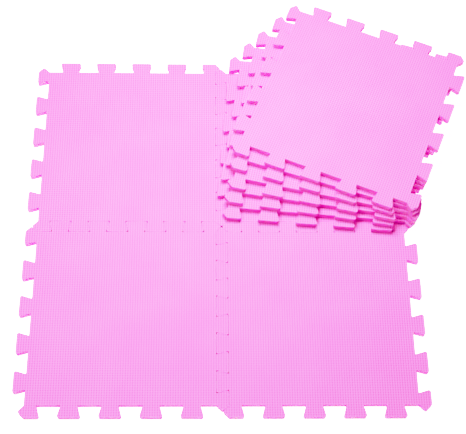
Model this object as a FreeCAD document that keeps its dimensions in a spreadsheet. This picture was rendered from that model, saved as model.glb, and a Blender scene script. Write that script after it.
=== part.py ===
import FreeCAD, Part
import os
import Sketcher

# Nine identical square foam mats with dovetail edges, used to pin knitting out to dry.
# Four are joined edge to edge on the floor. Five more lie loose on the back right one,
# each turned a little further than the mat beneath it.
# Millimetres. +X is right, +Y is towards the back and +Z is up. The origin is on the
# floor, under the middle of the whole group.

FOLDER = "parts"

# Every size of one mat. A mat and its neighbour are mat_pitch apart, so the tabs of one
# reach half of tab_depth past that line and fill the sockets of the other.
MAT_SIZES = [
    ("mat_pitch", 300.0, "distance between the centres of two joined mats"),
    ("mat_thickness", 10.0, "thickness of the foam"),
    ("tabs_per_side", 5, "tabs on each side, with the one at the corner"),
    ("tab_depth", 18.5, "from the bottom of a socket to the tip of a tab"),
    ("tab_flare", 2.8, "how much further out a flank is at the tip than at half depth"),
    ("seam_gap", 0.3, "clear space between two joined mats"),
    ("tip_radius", 3.0, "rounding of the corners at a tab's tip"),
    ("root_radius", 1.0, "rounding of the corners at the bottom of a socket"),
]

# The floor mats' centres, in mat pitches from the point where all four meet.
FLOOR_MATS = [
    ("mat_back_left", -0.5, 0.5),
    ("mat_front_left", -0.5, -0.5),
    ("mat_front_right", 0.5, -0.5),
    ("mat_back_right", 0.5, 0.5),
]

# Each stacked mat's centre, to the right of and behind the centre of the back right
# floor mat, and its turn about the vertical. They were laid down by hand, so the steps
# are uneven.
STACKED_MATS = [
    ("stack_mat_1", 12.0, 8.0, -4.8),
    ("stack_mat_2", 25.0, 20.0, -8.9),
    ("stack_mat_3", 38.0, 30.0, -12.7),
    ("stack_mat_4", 51.0, 43.0, -18.1),
    ("stack_mat_5", 62.0, 52.0, -22.4),
]

doc = FreeCAD.newDocument("blocking_mats")


def make_sheet():
    """The spreadsheet: an alias, its number and what it means on each row."""
    sheet = doc.addObject("Spreadsheet::Sheet", "sizes")
    rows = list(MAT_SIZES)
    for name, right, back, turn in STACKED_MATS:
        rows.append((name + "_right", right, "right of the mat under the stack"))
        rows.append((name + "_back", back, "behind the mat under the stack"))
        rows.append((name + "_turn", turn, "degrees about the vertical"))
    rows.append(("shift_right", 0.0, "moves the group's middle to the origin"))
    rows.append(("shift_back", 0.0, "moves the group's middle to the origin"))
    for number, (alias, value, meaning) in enumerate(rows, start=1):
        sheet.set("A%d" % number, alias)
        sheet.set("B%d" % number, str(value))
        sheet.setAlias("B%d" % number, alias)
        sheet.set("C%d" % number, meaning)
    doc.recompute()
    return sheet


def origin_feature(body, role):
    """One of the body's own origin planes or axes."""
    for feature in body.Origin.OriginFeatures:
        if feature.Role == role:
            return feature
    raise RuntimeError("no origin feature " + role)


def outline_sketch(body, name, corners):
    """A closed outline on the body's XY plane, whose corners are pairs of expressions."""
    sketch = body.newObject("Sketcher::SketchObject", name)
    sketch.AttachmentSupport = [(origin_feature(body, "XY_Plane"), "")]
    sketch.MapMode = "FlatFace"
    points = [FreeCAD.Vector(sketch.evalExpression(x), sketch.evalExpression(y), 0)
              for x, y in corners]
    count = len(points)
    for index in range(count):
        line = Part.LineSegment(points[index], points[(index + 1) % count])
        sketch.addGeometry(line, False)
    for index in range(count):
        joined = Sketcher.Constraint("Coincident", index, 2, (index + 1) % count, 1)
        sketch.addConstraint(joined)
    for index, (x, y) in enumerate(corners):
        across = Sketcher.Constraint("DistanceX", -1, 1, index, 1, points[index].x)
        number = sketch.addConstraint(across)
        sketch.setExpression("Constraints[%d]" % number, x)
        along = Sketcher.Constraint("DistanceY", -1, 1, index, 1, points[index].y)
        number = sketch.addConstraint(along)
        sketch.setExpression("Constraints[%d]" % number, y)
    return sketch


def pad(body, name, sketch):
    """The sketch raised to the thickness of the foam."""
    feature = body.newObject("PartDesign::Pad", name)
    feature.Profile = sketch
    feature.setExpression("Length", "sizes.mat_thickness")
    body.Tip = feature
    doc.recompute()
    return feature


def repeat_on_four_sides(body, name, feature):
    """The feature turned about the middle of the mat onto its other three sides."""
    pattern = body.newObject("PartDesign::PolarPattern", name)
    pattern.Originals = [feature]
    pattern.Axis = (origin_feature(body, "Z_Axis"), [""])
    pattern.Angle = 360
    pattern.Occurrences = 4
    body.Tip = pattern
    doc.recompute()
    return pattern


# Lines of the outline on a mat's back side, as expressions on the sheet. The half gap
# keeps every line that far inside the line it would share with its neighbour.
HALF_GAP = "sizes.seam_gap / 2"
HALF_PITCH = "sizes.mat_pitch / 2"
TAB_PITCH = "sizes.mat_pitch / sizes.tabs_per_side"
SOCKET_LINE = "%s - sizes.tab_depth / 2 - %s" % (HALF_PITCH, HALF_GAP)
TIP_LINE = "%s + sizes.tab_depth / 2 - %s" % (HALF_PITCH, HALF_GAP)


def make_core(body):
    """The square inside the tabs, drawn as its back right quarter and then repeated."""
    corners = [("0 mm", "0 mm"), (SOCKET_LINE, "0 mm"),
               (SOCKET_LINE, SOCKET_LINE), ("0 mm", SOCKET_LINE)]
    quarter = pad(body, "core_quarter", outline_sketch(body, "core_outline", corners))
    return repeat_on_four_sides(body, "core", quarter)


def make_corner_tab(body):
    """The first tab of a side, cut to a point where four mats meet."""
    point = "%s - sqrt(2) * %s" % (HALF_PITCH, HALF_GAP)
    flank_middle = "%s - %s / 2 + %s" % (HALF_PITCH, TAB_PITCH, HALF_GAP)
    corners = [
        (SOCKET_LINE, SOCKET_LINE),
        (SOCKET_LINE, "%s + sqrt(2) * %s" % (SOCKET_LINE, HALF_GAP)),
        (point, HALF_PITCH),
        ("%s - (%s - %s)" % (point, TIP_LINE, HALF_PITCH), TIP_LINE),
        ("%s - sizes.tab_flare" % flank_middle, TIP_LINE),
        ("%s + sizes.tab_flare" % flank_middle, SOCKET_LINE),
    ]
    tab = pad(body, "corner_tab", outline_sketch(body, "corner_tab_outline", corners))
    return repeat_on_four_sides(body, "corner_tabs", tab)


def make_side_tabs(body):
    """The dovetail next to the corner, repeated along its side and on all four sides."""
    middle = "%s - %s * 5 / 4" % (HALF_PITCH, TAB_PITCH)
    half_width = "(%s / 4 - %s)" % (TAB_PITCH, HALF_GAP)
    half_tip = "(%s + sizes.tab_flare)" % half_width
    half_root = "(%s - sizes.tab_flare)" % half_width
    corners = [
        ("%s + %s" % (middle, half_root), SOCKET_LINE),
        ("%s + %s" % (middle, half_tip), TIP_LINE),
        ("%s - %s" % (middle, half_tip), TIP_LINE),
        ("%s - %s" % (middle, half_root), SOCKET_LINE),
    ]
    tab = pad(body, "side_tab", outline_sketch(body, "side_tab_outline", corners))
    pattern = body.newObject("PartDesign::MultiTransform", "side_tabs")
    pattern.Originals = [tab]
    along = body.newObject("PartDesign::LinearPattern", "along_side")
    along.Direction = (origin_feature(body, "X_Axis"), [""])
    along.Reversed = True
    along.setExpression("Length", "(sizes.tabs_per_side - 2) * %s" % TAB_PITCH)
    along.setExpression("Occurrences", "sizes.tabs_per_side - 1")
    around = body.newObject("PartDesign::PolarPattern", "round_four_sides")
    around.Axis = (origin_feature(body, "Z_Axis"), [""])
    around.Angle = 360
    around.Occurrences = 4
    pattern.Transformations = [along, around]
    body.Tip = pattern
    doc.recompute()
    return pattern


def upright_edges(shape, is_wanted):
    """Names of the upright edges wanted, given how far each is from the mat's middle."""
    names = []
    for number, edge in enumerate(shape.Edges, start=1):
        start, end = edge.Vertexes[0].Point, edge.Vertexes[-1].Point
        is_upright = abs(start.x - end.x) < 0.001 and abs(start.y - end.y) < 0.001
        if is_upright and is_wanted(abs(start.x), abs(start.y)):
            names.append("Edge%d" % number)
    return names


def round_edges(body, name, base, names, radius):
    feature = body.newObject("PartDesign::Fillet", name)
    feature.Base = (base, names)
    feature.setExpression("Radius", radius)
    body.Tip = feature
    doc.recompute()
    return feature


def make_mat(name):
    """One mat, lying flat with the middle of its underside at the body's origin.

    Upright edges beyond the line between two mats are corners of tabs, and those within
    it are corners of sockets, apart from the ones at the four corners of the mat."""
    body = doc.addObject("PartDesign::Body", name)
    body.Label = name
    make_core(body)
    make_corner_tab(body)
    tabs = make_side_tabs(body)
    half_pitch = sheet.mat_pitch / 2
    half_core = half_pitch - sheet.tab_depth / 2
    beside_corner = half_core - sheet.tab_depth / 2
    tips = upright_edges(tabs.Shape, lambda x, y: max(x, y) > half_pitch - sheet.seam_gap)
    rounded = round_edges(body, "rounded_tips", tabs, tips, "sizes.tip_radius")
    roots = upright_edges(
        rounded.Shape, lambda x, y: max(x, y) < half_core and min(x, y) < beside_corner)
    round_edges(body, "rounded_roots", rounded, roots, "sizes.root_radius")
    return body


def copy_mat(name, original):
    """Another mat of the same shape, in a body of its own that follows the original."""
    body = doc.addObject("PartDesign::Body", name)
    body.Label = name
    copy = body.newObject("PartDesign::FeatureBase", "copy_of_mat")
    copy.BaseFeature = original
    body.Tip = copy
    return body


def place_floor_mat(body, right, back):
    body.setExpression(".Placement.Base.x", "sizes.mat_pitch * %s + sizes.shift_right" % right)
    body.setExpression(".Placement.Base.y", "sizes.mat_pitch * %s + sizes.shift_back" % back)


def place_stacked_mat(body, name, level):
    body.setExpression(
        ".Placement.Base.x",
        "%s + sizes.%s_right + sizes.shift_right" % (HALF_PITCH, name))
    body.setExpression(
        ".Placement.Base.y",
        "%s + sizes.%s_back + sizes.shift_back" % (HALF_PITCH, name))
    body.setExpression(".Placement.Base.z", "%d * sizes.mat_thickness" % level)
    body.setExpression(".Placement.Rotation.Angle", "sizes.%s_turn" % name)


def overall_box(bodies):
    box = FreeCAD.BoundBox()
    for body in bodies:
        box.add(body.Shape.optimalBoundingBox(False, False))
    return box


def check(bodies):
    for thing in doc.Objects:
        if "Invalid" in thing.State or "Error" in thing.State:
            raise RuntimeError("failed object: " + thing.Name)
    for body in bodies:
        if body.Shape.isNull() or not body.Shape.isValid():
            raise RuntimeError("bad shape: " + body.Label)
        if len(body.Shape.Solids) != 1:
            raise RuntimeError("not one solid: " + body.Label)


sheet = make_sheet()
first_name = FLOOR_MATS[0][0]
mats = [make_mat(first_name)]
for mat_name, _, _ in FLOOR_MATS[1:]:
    mats.append(copy_mat(mat_name, mats[0]))
for mat_name, _, _, _ in STACKED_MATS:
    mats.append(copy_mat(mat_name, mats[0]))
for mat, (_, mat_right, mat_back) in zip(mats, FLOOR_MATS):
    place_floor_mat(mat, mat_right, mat_back)
stack = mats[len(FLOOR_MATS):]
for mat_level, (mat, row) in enumerate(zip(stack, STACKED_MATS), start=1):
    place_stacked_mat(mat, row[0], mat_level)
doc.recompute()

middle = overall_box(mats).Center
sheet.set(sheet.getCellFromAlias("shift_right"), str(-middle.x))
sheet.set(sheet.getCellFromAlias("shift_back"), str(-middle.y))
doc.recompute()
check(mats)

os.makedirs(FOLDER, exist_ok=True)
for mat in mats:
    mat.Shape.exportStep(os.path.join(FOLDER, mat.Label + ".step"))
    box = mat.Shape.optimalBoundingBox(False, False)
    print("%-16s volume %.0f mm3, x %.2f to %.2f, y %.2f to %.2f, z %.2f to %.2f"
          % (mat.Label, mat.Shape.Volume, box.XMin, box.XMax, box.YMin, box.YMax,
             box.ZMin, box.ZMax))
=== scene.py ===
import cmath
import math

import bmesh
import bpy
import numpy as np
from mathutils import Matrix, Vector
from mathutils.geometry import delaunay_2d_cdt


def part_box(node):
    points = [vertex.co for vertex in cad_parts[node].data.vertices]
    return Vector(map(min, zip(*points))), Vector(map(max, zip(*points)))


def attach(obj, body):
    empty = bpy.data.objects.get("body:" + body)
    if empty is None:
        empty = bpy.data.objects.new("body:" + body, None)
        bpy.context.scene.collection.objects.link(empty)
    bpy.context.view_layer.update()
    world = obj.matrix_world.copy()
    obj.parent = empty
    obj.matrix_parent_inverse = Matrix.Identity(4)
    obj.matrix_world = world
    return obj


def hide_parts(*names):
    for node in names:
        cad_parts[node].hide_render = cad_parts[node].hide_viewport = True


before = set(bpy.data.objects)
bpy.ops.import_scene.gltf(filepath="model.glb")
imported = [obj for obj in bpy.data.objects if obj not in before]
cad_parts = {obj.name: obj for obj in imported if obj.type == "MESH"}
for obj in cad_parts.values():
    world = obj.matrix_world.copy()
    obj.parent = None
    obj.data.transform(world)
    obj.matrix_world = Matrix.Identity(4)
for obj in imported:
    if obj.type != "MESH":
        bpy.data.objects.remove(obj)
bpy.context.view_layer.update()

# Nine identical embossed foam mats. The shape of one mat is worked out once, about its
# own middle, and nine pieces made from it are put where the frame has them. Metres.

# ---------------------------------------------------------------- sizes of one mat
PITCH = 0.300          # between the centres of two joined mats
THICKNESS = 0.010
TABS = 5               # on each side, with the one at the corner
TAB_DEPTH = 0.0185
TAB_FLARE = 0.0028     # a flank's run-out from half depth to the tip
SEAM_GAP = 0.0003
TIP_RADIUS = 0.003
ROOT_RADIUS = 0.001

OUTLINE_STEP = 0.0014  # between points on the outline's straight parts
ARC_STEP = math.radians(15)
SHARP = math.radians(50)      # faces that meet more steeply keep a crisp edge

# The weave pressed into the working face: threads along Y, the warp, stand a little
# prouder than the ones across them, the weft. Each has a level, and sinks and rises about
# it as it goes under and over.
THREAD = 0.00375
ACROSS_SAMPLES = 4
ALONG_SAMPLES = 3
WEAVE_DEPTH = 0.00095
ROUNDNESS = 2.6
WARP_LEVEL, WARP_RISE = 0.74, 0.26
WEFT_LEVEL, WEFT_RISE = 0.60, 0.32
CELLS_TO_RIM = 0.0005  # clear space between the weave's grid and the rim
MERGE = 1e-7           # points nearer than this would be joined

# How far in from the outline, and how high, each ring of the cut edge is. The first two
# also carry some of the weave.
EDGE_RINGS = [
    (0.00030, 0.01000),
    (0.00010, 0.00994),
    (-0.00004, 0.00975),
    (-0.00008, 0.00930),
    (0.00012, 0.00520),
    (-0.00006, 0.00060),
    (0.00020, 0.00000),
]
RING_WEAVE = (0.6, 0.3)

TOP, SIDE, UNDER = range(3)


def corner_points():
    """The outline before its corners are rounded, anticlockwise, as (x, y, radius)."""
    half_gap = SEAM_GAP / 2
    half_pitch = PITCH / 2
    tab_pitch = PITCH / TABS
    socket = half_pitch - TAB_DEPTH / 2 - half_gap
    tip = half_pitch + TAB_DEPTH / 2 - half_gap
    point = half_pitch - math.sqrt(2) * half_gap
    flank = half_pitch - tab_pitch / 2 + half_gap
    side = [
        (socket, socket + math.sqrt(2) * half_gap, 0.0),
        (point, half_pitch, TIP_RADIUS),
        (point - (tip - half_pitch), tip, TIP_RADIUS),
        (flank - TAB_FLARE, tip, TIP_RADIUS),
        (flank + TAB_FLARE, socket, ROOT_RADIUS),
    ]
    half_width = tab_pitch / 4 - half_gap
    for tab in range(TABS - 1):
        middle = half_pitch - tab_pitch * (1.25 + tab)
        side.append((middle + half_width - TAB_FLARE, socket, ROOT_RADIUS))
        side.append((middle + half_width + TAB_FLARE, tip, TIP_RADIUS))
        side.append((middle - half_width - TAB_FLARE, tip, TIP_RADIUS))
        side.append((middle - half_width + TAB_FLARE, socket, ROOT_RADIUS))
    points = []
    for turn in range(4):
        about = Matrix.Rotation(turn * math.pi / 2, 2)
        points += [(about @ Vector((x, y)), radius) for x, y, radius in side]
    return points


def left_of(direction):
    return Vector((-direction.y, direction.x))


def rounded_outline():
    """Points along the finished outline, and the way into the foam at each."""
    corners = corner_points()
    count = len(corners)
    pieces = []
    for index, (here, radius) in enumerate(corners):
        before = (here - corners[index - 1][0]).normalized()
        after = (corners[(index + 1) % count][0] - here).normalized()
        turn = -before.angle_signed(after)      # angle_signed counts clockwise
        if radius == 0.0:
            inward = (left_of(before) + left_of(after)).normalized()
            pieces.append([(here, inward / math.cos(turn / 2))])
            continue
        start = here - before * (radius * math.tan(abs(turn) / 2))
        sign = 1.0 if turn > 0 else -1.0
        middle = start + left_of(before) * (sign * radius)
        steps = max(2, math.ceil(abs(turn) / ARC_STEP))
        arc = []
        for step in range(steps + 1):
            spoke = Matrix.Rotation(turn * step / steps, 2) @ (start - middle)
            arc.append((middle + spoke, spoke.normalized() * -sign))
        pieces.append(arc)
    outline = []
    for index, piece in enumerate(pieces):
        outline += piece
        start, end = piece[-1][0], pieces[(index + 1) % count][0][0]
        run = end - start
        steps = math.ceil(run.length / OUTLINE_STEP)
        inward = left_of(run.normalized())
        outline += [(start + run * (step / steps), inward) for step in range(1, steps)]
    points = np.array([tuple(point) for point, _ in outline])
    inward = np.array([tuple(normal) for _, normal in outline])
    return points, inward


def weave(x, y):
    """Height of the embossed weave, from -1 in a gap to 0 on top of a thread."""
    across, along = x / THREAD, y / THREAD
    column, row = np.round(across), np.round(along)
    over = 1.0 - 2.0 * np.mod(column + row, 2.0)
    off_across, off_along = np.abs(across - column), np.abs(along - row)
    round_across = 1.0 - (2.0 * off_across) ** ROUNDNESS
    round_along = 1.0 - (2.0 * off_along) ** ROUNDNESS
    wave = over * np.cos(math.pi * off_across) * np.cos(math.pi * off_along)
    warp = round_across * (WARP_LEVEL + WARP_RISE * wave)
    weft = round_along * (WEFT_LEVEL - WEFT_RISE * wave)
    return np.maximum(warp, weft) - 1.0


def inside(points, outline):
    """Which points lie inside the closed outline."""
    result = np.zeros(len(points), bool)
    x, y = points[:, 0], points[:, 1]
    ends = np.roll(outline, -1, axis=0)
    for (x1, y1), (x2, y2) in zip(outline, ends):
        if y1 == y2:
            continue
        crosses = (y1 > y) != (y2 > y)
        at = x1 + (y - y1) * (x2 - x1) / (y2 - y1)
        result ^= crosses & (x < at)
    return result


def fill(points, edges):
    """Triangles inside closed loops: corners, triangles, each corner's place in points."""
    made, _, faces, origin, _, _ = delaunay_2d_cdt(points, edges, [], 1, MERGE)
    if len(made) != len(points):
        raise RuntimeError("points of the mat touch or its loops cross")
    return made, faces, [places[0] for places in origin]


def loop_edges(count):
    return [(k, (k + 1) % count) for k in range(count)]


def make_mat_mesh():
    """The mesh of one mat: embossed top, cut edge and plain underside."""
    outline, inward = rounded_outline()
    count = len(outline)
    rim_inset = EDGE_RINGS[0][0]
    rim = outline + inward * rim_inset

    # Grid cells that lie wholly inside the rim carry the weave.
    reach = PITCH / 2 + TAB_DEPTH / 2
    step_x, step_y = THREAD / ACROSS_SAMPLES, THREAD / ALONG_SAMPLES
    far_x, far_y = math.ceil(reach / step_x), math.ceil(reach / step_y)
    xs = np.arange(-far_x, far_x + 1) * step_x
    ys = (np.arange(-far_y, far_y + 1) + 0.5) * step_y
    grid_x, grid_y = np.meshgrid(xs, ys, indexing="ij")
    flat = np.stack([grid_x.ravel(), grid_y.ravel()], axis=1)
    margin = outline + inward * (rim_inset + CELLS_TO_RIM)
    within = inside(flat, margin).reshape(grid_x.shape)
    cell = within[:-1, :-1] & within[1:, :-1] & within[:-1, 1:] & within[1:, 1:]
    used = np.zeros(within.shape, bool)
    used[:-1, :-1] |= cell
    used[1:, :-1] |= cell
    used[:-1, 1:] |= cell
    used[1:, 1:] |= cell
    number = np.full(within.shape, -1)
    number[used] = np.arange(used.sum())
    grid = np.stack([grid_x[used], grid_y[used]], axis=1)
    i, j = np.nonzero(cell)
    quads = np.stack([number[i, j], number[i + 1, j], number[i + 1, j + 1],
                      number[i, j + 1]], axis=1)

    # The edges on the border of those cells are joined to the rim by a band of triangles.
    sides = np.concatenate([quads[:, [a, (a + 1) % 4]] for a in range(4)])
    keys = np.sort(sides, axis=1)
    _, first, times = np.unique(keys, axis=0, return_index=True, return_counts=True)
    border = sides[first[times == 1]]
    border_ids = np.unique(border)
    position = {int(v): k + count for k, v in enumerate(border_ids)}
    points = [Vector(p) for p in rim] + [Vector(grid[v]) for v in border_ids]
    edges = loop_edges(count) + [(position[int(a)], position[int(b)]) for a, b in border]
    made, faces, source = fill(points, edges)
    coordinates = np.array([tuple(v) for v in made])
    faces = np.array([list(f) for f in faces])
    middles = coordinates[faces].mean(axis=1)
    column = np.floor((middles[:, 0] - xs[0]) / step_x).astype(int)
    row = np.floor((middles[:, 1] - ys[0]) / step_y).astype(int)
    column = np.clip(column, 0, cell.shape[0] - 1)
    row = np.clip(row, 0, cell.shape[1] - 1)
    band = faces[~cell[column, row]]

    # All the vertices: the grid, then each ring of the edge.
    top_height = THICKNESS + WEAVE_DEPTH * weave(grid[:, 0], grid[:, 1])
    vertices = [np.column_stack([grid, top_height])]
    for level, (distance, height) in enumerate(EDGE_RINGS):
        ring = outline + inward * distance
        z = np.full(count, height)
        if level < len(RING_WEAVE):
            z += RING_WEAVE[level] * WEAVE_DEPTH * weave(ring[:, 0], ring[:, 1])
        vertices.append(np.column_stack([ring, z]))
    base = len(grid)

    def vertex(k):
        k = source[k]
        return base + k if k < count else int(border_ids[k - count])

    polygons = [tuple(int(v) for v in quad) for quad in quads]
    slots = [TOP] * len(polygons)
    for face in band:
        polygons.append(tuple(vertex(k) for k in face))
        slots.append(TOP)
    for level in range(len(EDGE_RINGS) - 1):
        upper = base + level * count
        lower = upper + count
        for k, after in loop_edges(count):
            polygons.append((upper + after, upper + k, lower + k, lower + after))
            slots.append(TOP if level < 1 else SIDE)
    last = base + (len(EDGE_RINGS) - 1) * count
    foot = outline + inward * EDGE_RINGS[-1][0]
    _, faces, foot_source = fill([Vector(p) for p in foot], loop_edges(count))
    for face in faces:
        polygons.append(tuple(last + foot_source[k] for k in reversed(face)))
        slots.append(UNDER)

    places = np.concatenate(vertices)
    mesh = bpy.data.meshes.new("foam_mat")
    mesh.from_pydata(places.tolist(), [], polygons)
    mesh.polygons.foreach_set("material_index", slots)
    mesh.polygons.foreach_set("use_smooth", [True] * len(polygons))
    mesh.update()
    # The weave's height at each point, kept as an attribute; the shader paints shade into the
    # grooves from it.
    level = np.clip(1.0 + weave(places[:, 0], places[:, 1]), 0.0, 1.0)
    mesh.attributes.new("weave", "FLOAT", "POINT").data.foreach_set("value", level)
    check = bmesh.new()
    check.from_mesh(mesh)
    open_edges = [e for e in check.edges if len(e.link_faces) != 2]
    volume = check.calc_volume(signed=True)
    check.free()
    print("foam_mat: %d faces, %d open edges, %.1f cm3"
          % (len(polygons), len(open_edges), volume * 1e6))
    mesh.set_sharp_from_angle(angle=SHARP)
    return mesh


# ---------------------------------------------------------------- materials
def new_material(name):
    material = bpy.data.materials.new(name)
    material.use_nodes = True
    nodes = material.node_tree.nodes
    links = material.node_tree.links
    shader = nodes["Principled BSDF"]
    return material, nodes, links, shader


def noise(nodes, links, place, scale, detail):
    texture = nodes.new("ShaderNodeTexNoise")
    texture.inputs["Scale"].default_value = scale
    texture.inputs["Detail"].default_value = detail
    links.new(place, texture.inputs["Vector"])
    return texture.outputs["Fac"]


def remap(nodes, links, value, low, high, low_to, high_to):
    node = nodes.new("ShaderNodeMapRange")
    node.inputs["From Min"].default_value = low
    node.inputs["From Max"].default_value = high
    node.inputs["To Min"].default_value = low_to
    node.inputs["To Max"].default_value = high_to
    links.new(value, node.inputs["Value"])
    return node.outputs["Result"]


def mix_colour(nodes, links, factor, first, second):
    node = nodes.new("ShaderNodeMix")
    node.data_type = "RGBA"
    links.new(factor, node.inputs["Factor"])
    for socket, value in (("A", first), ("B", second)):
        target = [s for s in node.inputs if s.name == socket and s.type == "RGBA"][0]
        if isinstance(value, tuple):
            target.default_value = value
        else:
            links.new(value, target)
    return [s for s in node.outputs if s.type == "RGBA"][0]


def bump(nodes, links, shader, height, distance):
    node = nodes.new("ShaderNodeBump")
    node.inputs["Distance"].default_value = distance
    node.inputs["Strength"].default_value = 1.0
    links.new(height, node.inputs["Height"])
    links.new(node.outputs["Normal"], shader.inputs["Normal"])


FOAM = (0.96, 0.295, 0.75, 1.0)
FOAM_DEEP = (0.94, 0.235, 0.70, 1.0)
# Painted shade: the darker, deeper pink that the weave's grooves are coloured toward, standing
# in for their shadow.
FOAM_GROOVE_SHADE = (0.68, 0.06, 0.42, 1.0)
EDGE_FOAM = (0.97, 0.285, 0.74, 1.0)
EDGE_DEEP = (0.97, 0.225, 0.68, 1.0)

CLOUD_SCALE = 14.0
CLOUD_SHARE = 0.45
GRAIN_SHARE = 0.35
CLOUD_LOW, CLOUD_HIGH = 0.35, 0.65     # where most of the noise lies
GRAIN_LOW, GRAIN_HIGH = 0.3, 0.7
GROOVE_SHADE_LOW, GROOVE_SHADE_HIGH = 0.05, 0.85   # of the weave's height: the painted shade in the grooves is full below the first and gone above the second
GLOSS_SPREAD = 0.06
SPECULAR = 0.35

# The cut edge lets the light in a little, red the furthest.
EDGE_SCATTER = 0.8
SCATTER_REACH = 0.008
SCATTER_BY_COLOUR = (1.0, 0.05, 0.4)


def make_foam(name, base, deep, roughness, grain_scale, grain_depth, groove_shade=None):
    """Closed-cell foam: soft cloudy tone, a fine grain and slightly uneven gloss; given a
    colour for the grooves, it also paints shade into them.
    """
    material, nodes, links, shader = new_material(name)
    place = nodes.new("ShaderNodeTexCoord").outputs["Object"]
    clouds = noise(nodes, links, place, CLOUD_SCALE, 3.0)
    cloud_factor = remap(nodes, links, clouds, CLOUD_LOW, CLOUD_HIGH, 0.0, CLOUD_SHARE)
    grain = noise(nodes, links, place, grain_scale, 2.0)
    grain_factor = remap(nodes, links, grain, GRAIN_LOW, GRAIN_HIGH, 0.0, GRAIN_SHARE)
    tone = mix_colour(nodes, links, cloud_factor, base, deep)
    tone = mix_colour(nodes, links, grain_factor, tone, deep)
    # Painted shade: where the weave is low, the colour goes toward the darker pink given for
    # the grooves, as if they were in shadow.
    if groove_shade:
        pressed = nodes.new("ShaderNodeAttribute")
        pressed.attribute_name = "weave"
        groove_shade_amount = remap(nodes, links, pressed.outputs["Fac"], GROOVE_SHADE_LOW, GROOVE_SHADE_HIGH, 1.0, 0.0)
        tone = mix_colour(nodes, links, groove_shade_amount, tone, groove_shade)
    links.new(tone, shader.inputs["Base Color"])
    links.new(remap(nodes, links, grain, GRAIN_LOW, GRAIN_HIGH,
                    roughness - GLOSS_SPREAD, roughness + GLOSS_SPREAD),
              shader.inputs["Roughness"])
    bump(nodes, links, shader, grain, grain_depth)
    shader.inputs["Specular IOR Level"].default_value = SPECULAR
    return material


face_foam = make_foam("foam_embossed_face", FOAM, FOAM_DEEP, 0.60, 2600.0, 0.00006, FOAM_GROOVE_SHADE)
edge_foam = make_foam("foam_cut_edge", EDGE_FOAM, EDGE_DEEP, 0.85, 1500.0, 0.00016)
glowing = edge_foam.node_tree.nodes["Principled BSDF"]
glowing.inputs["Subsurface Weight"].default_value = EDGE_SCATTER
glowing.inputs["Subsurface Radius"].default_value = SCATTER_BY_COLOUR
glowing.inputs["Subsurface Scale"].default_value = SCATTER_REACH
under_foam = make_foam("foam_underside", FOAM, FOAM_DEEP, 0.72, 1200.0, 0.00012)

# ---------------------------------------------------------------- the nine mats
shape = make_mat_mesh()
for material in (face_foam, edge_foam, under_foam):
    shape.materials.append(material)

UPWARD = 0.9           # least upward part of the normal of a face on top
# Places along an edge, and their weights, that sum up a fourth power exactly.
GAUSS = ((0.1127017, 5 / 18), (0.5, 8 / 18), (0.8872983, 5 / 18))


def turn_moment(node):
    """Fourth moment of a node's upper outline: its argument turns four times as fast."""
    mesh = node.data
    low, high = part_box(node.name)
    middle = (low + high) / 2
    used = {}
    for polygon in mesh.polygons:
        if polygon.normal.z < UPWARD:
            continue
        ring = [tuple(round(c, 7) for c in mesh.vertices[v].co) for v in polygon.vertices]
        for a, b in zip(ring, ring[1:] + ring[:1]):
            used.setdefault(frozenset((a, b)), []).append((a, b))
    total = 0
    for ways in used.values():
        if len(ways) != 1:
            continue
        (x1, y1, _), (x2, y2, _) = ways[0]
        start = complex(x1 - middle.x, y1 - middle.y)
        end = complex(x2 - middle.x, y2 - middle.y)
        for at, weight in GAUSS:
            total += weight * abs(end - start) * (start + (end - start) * at) ** 4
    return total


unturned = turn_moment(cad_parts["mat_front_left"])
for name, node in sorted(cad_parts.items()):
    low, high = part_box(name)
    middle = (low + high) / 2
    turn = cmath.phase(turn_moment(node) / unturned) / 4
    piece = bpy.data.objects.new(name + "_foam", shape)
    bpy.context.scene.collection.objects.link(piece)
    piece.matrix_world = (Matrix.Translation((middle.x, middle.y, low.z))
                          @ Matrix.Rotation(turn, 4, "Z"))
    print(name, "turned %.3f degrees" % math.degrees(turn))
    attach(piece, name)
    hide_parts(name)

# ---------------------------------------------------------------- floor and background
# The middle of the four joined mats: the floor's shading and the lamps are placed from it.
square = (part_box("mat_front_left")[0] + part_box("mat_back_right")[1]) / 2
square.z = 0.0

FLOOR_REACH = 4.0
FLOOR_HEIGHT = -0.0002
SHEET_HEIGHT = -0.0001
DOME_RADIUS = 3.9
PAPER, PAPER_BRIGHT = (0.90, 0.90, 0.90, 1.0), (0.92, 0.92, 0.92, 1.0)
PAPER_ROUGHNESS = 0.9
FLOOR_GLOW = 1.0
SHEET_GLOW = 0.9
DOME_GLOW = 1.9
FADE_START = PITCH - 0.045    # from the middle of the four mats, along X or Y
FADE_END = PITCH - 0.012


def stage_object(name, mesh, seen_by_camera_only):
    """A part of the studio. What only the camera sees lights and shades nothing."""
    thing = bpy.data.objects.new(name, mesh)
    bpy.context.scene.collection.objects.link(thing)
    if seen_by_camera_only:
        for ray in ("diffuse", "glossy", "transmission", "volume_scatter", "shadow"):
            setattr(thing, "visible_" + ray, False)


def level_square(name, height):
    mesh = bpy.data.meshes.new(name)
    corners = ((-1, -1), (1, -1), (1, 1), (-1, 1))
    mesh.from_pydata([(x * FLOOR_REACH, y * FLOOR_REACH, height) for x, y in corners],
                     [], [(0, 1, 2, 3)])
    return mesh


def new_glow(name):
    """A material cleared down to one emission node, returned with its nodes and links."""
    material = bpy.data.materials.new(name)
    material.use_nodes = True
    nodes = material.node_tree.nodes
    nodes.clear()
    return material, nodes, material.node_tree.links, nodes.new("ShaderNodeEmission")


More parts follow.
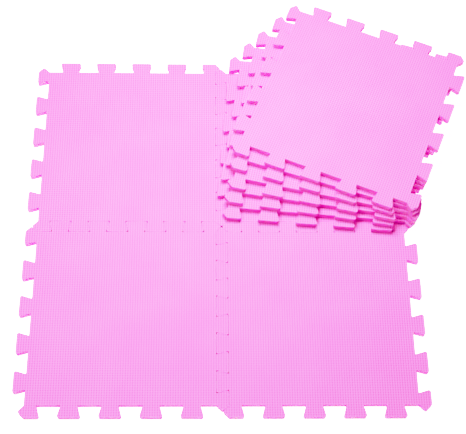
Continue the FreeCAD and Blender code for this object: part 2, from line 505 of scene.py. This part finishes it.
def beyond_the_mats(nodes, links, strength):
    """Nothing under the four joined mats, rising softly to the strength round them."""
    shift = nodes.new("ShaderNodeVectorMath")
    shift.operation = "SUBTRACT"
    shift.inputs[1].default_value = square
    links.new(nodes.new("ShaderNodeTexCoord").outputs["Object"], shift.inputs[0])
    split = nodes.new("ShaderNodeSeparateXYZ")
    links.new(shift.outputs["Vector"], split.inputs["Vector"])
    larger = nodes.new("ShaderNodeMath")
    larger.operation = "MAXIMUM"
    for place, axis in enumerate("XY"):
        size = nodes.new("ShaderNodeMath")
        size.operation = "ABSOLUTE"
        links.new(split.outputs[axis], size.inputs[0])
        links.new(size.outputs["Value"], larger.inputs[place])
    return remap(nodes, links, larger.outputs["Value"], FADE_START, FADE_END, 0.0, strength)


floor_mesh = level_square("floor", FLOOR_HEIGHT)
stage_object("floor", floor_mesh, False)
paper, nodes, links, shader = new_material("white_floor")
place = nodes.new("ShaderNodeTexCoord").outputs["Object"]
speckle = noise(nodes, links, place, 3.0, 2.0)
links.new(mix_colour(nodes, links, speckle, PAPER, PAPER_BRIGHT), shader.inputs["Base Color"])
shader.inputs["Roughness"].default_value = PAPER_ROUGHNESS
shader.inputs["Emission Color"].default_value = (1.0, 1.0, 1.0, 1.0)
links.new(beyond_the_mats(nodes, links, FLOOR_GLOW), shader.inputs["Emission Strength"])
floor_mesh.materials.append(paper)

# A white dome round the studio, for the views from low down.
dome_shape = bmesh.new()
bmesh.ops.create_uvsphere(dome_shape, u_segments=48, v_segments=24, radius=DOME_RADIUS)
dome_mesh = bpy.data.meshes.new("backdrop")
dome_shape.to_mesh(dome_mesh)
dome_shape.free()
stage_object("backdrop", dome_mesh, True)
glow, nodes, links, emission = new_glow("backdrop_white")
emission.inputs["Strength"].default_value = DOME_GLOW
output = nodes.new("ShaderNodeOutputMaterial")
links.new(emission.outputs["Emission"], output.inputs["Surface"])
dome_mesh.materials.append(glow)

# A clear sheet just over the floor: it whitens the paper under the shadows, as an
# overexposed background is.
sheet_mesh = level_square("whitening", SHEET_HEIGHT)
stage_object("whitening", sheet_mesh, True)
veil, nodes, links, emission = new_glow("whitening")
links.new(beyond_the_mats(nodes, links, SHEET_GLOW), emission.inputs["Strength"])
clear = nodes.new("ShaderNodeBsdfTransparent")
both = nodes.new("ShaderNodeAddShader")
output = nodes.new("ShaderNodeOutputMaterial")
links.new(clear.outputs["BSDF"], both.inputs[0])
links.new(emission.outputs["Emission"], both.inputs[1])
links.new(both.outputs["Shader"], output.inputs["Surface"])
sheet_mesh.materials.append(veil)

# ---------------------------------------------------------------- light
WORLD_COLOUR = (1.0, 0.55, 0.90, 1.0)  # pink, as light is after many turns in the foam
WORLD_STRENGTH = 0.08


def area_light(name, place, size, watts):
    """A round lamp at a place counted from the middle of the four mats, aimed at it."""
    data = bpy.data.lights.new(name, "AREA")
    data.shape = "DISK"
    data.size = size
    data.energy = watts
    lamp = bpy.data.objects.new(name, data)
    bpy.context.scene.collection.objects.link(lamp)
    place = Vector(place)
    turned = (-place).normalized().to_track_quat("-Z", "Y").to_matrix().to_4x4()
    lamp.matrix_world = Matrix.Translation(square + place) @ turned


area_light("overhead_left", (-0.42, -0.20, 0.95), size=0.20, watts=5.0)
area_light("overhead_back", (0.03, 0.34, 0.95), size=0.50, watts=15.7)

world = bpy.data.worlds.new("studio")
world.use_nodes = True
background = world.node_tree.nodes["Background"]
background.inputs["Color"].default_value = WORLD_COLOUR
background.inputs["Strength"].default_value = WORLD_STRENGTH
bpy.context.scene.world = world

# ---------------------------------------------------------------- camera
AIM = Vector((-0.0303, -0.0218, 0.0))
DISTANCE = 1.720
ELEVATION = math.radians(63.61)
AZIMUTH = math.radians(3.88)
ROLL = math.radians(3.66)
LENS = 82.8
SENSOR_WIDTH = 36.0
FAR_END = 50.0
outward = Vector((-math.sin(AZIMUTH) * math.cos(ELEVATION),
                  -math.cos(AZIMUTH) * math.cos(ELEVATION), math.sin(ELEVATION)))
right = (-outward).cross(Vector((0, 0, 1))).normalized()
up = outward.cross(right)
tilted_right = right * math.cos(ROLL) + up * math.sin(ROLL)
tilted_up = up * math.cos(ROLL) - right * math.sin(ROLL)
camera = bpy.data.objects.new("camera", bpy.data.cameras.new("camera"))
bpy.context.scene.collection.objects.link(camera)
camera.data.lens = LENS
camera.data.sensor_width = SENSOR_WIDTH
camera.data.clip_end = FAR_END
turned = Matrix((tilted_right, tilted_up, outward)).transposed().to_4x4()
camera.matrix_world = Matrix.Translation(AIM + outward * DISTANCE) @ turned
bpy.context.scene.camera = camera

# The camera's response, as pairs of scene light and what it records. Shadows stay richly
# coloured, because red holds up in them and green drops away. Then one soft shoulder for
# all three, so that bright pink keeps its hue and only the floor reaches white.
WHITE = 2.2
RED = ((0.15, 0.36), (0.32, 0.60), (0.55, 0.78), (0.80, 0.95), (1.10, 1.18), (1.50, 1.50))
GREEN = ((0.03, 0.006), (0.08, 0.048), (0.13, 0.115), (0.22, 0.22), (0.36, 0.362),
         (0.50, 0.487), (0.70, 0.64), (1.30, 1.30))
BLUE = ((0.17, 0.27), (0.30, 0.40), (0.45, 0.52), (0.60, 0.65), (0.78, 0.78), (0.96, 0.90),
        (1.25, 1.07), (1.60, 1.55))
SHOULDER = ((0.50, 0.50), (0.82, 0.80), (1.00, 0.88), (1.35, 0.94), (1.65, 0.975))
view = bpy.context.scene.view_settings
view.view_transform = "Standard"
view.use_curve_mapping = True
response = view.curve_mapping
response.white_level = (WHITE, WHITE, WHITE)
for curve, pairs in zip(response.curves, (RED, GREEN, BLUE)):
    for light, recorded in pairs:
        curve.points.new(light / WHITE, recorded / WHITE)
for light, shown in SHOULDER:
    response.curves[3].points.new(light / WHITE, shown)
response.update()
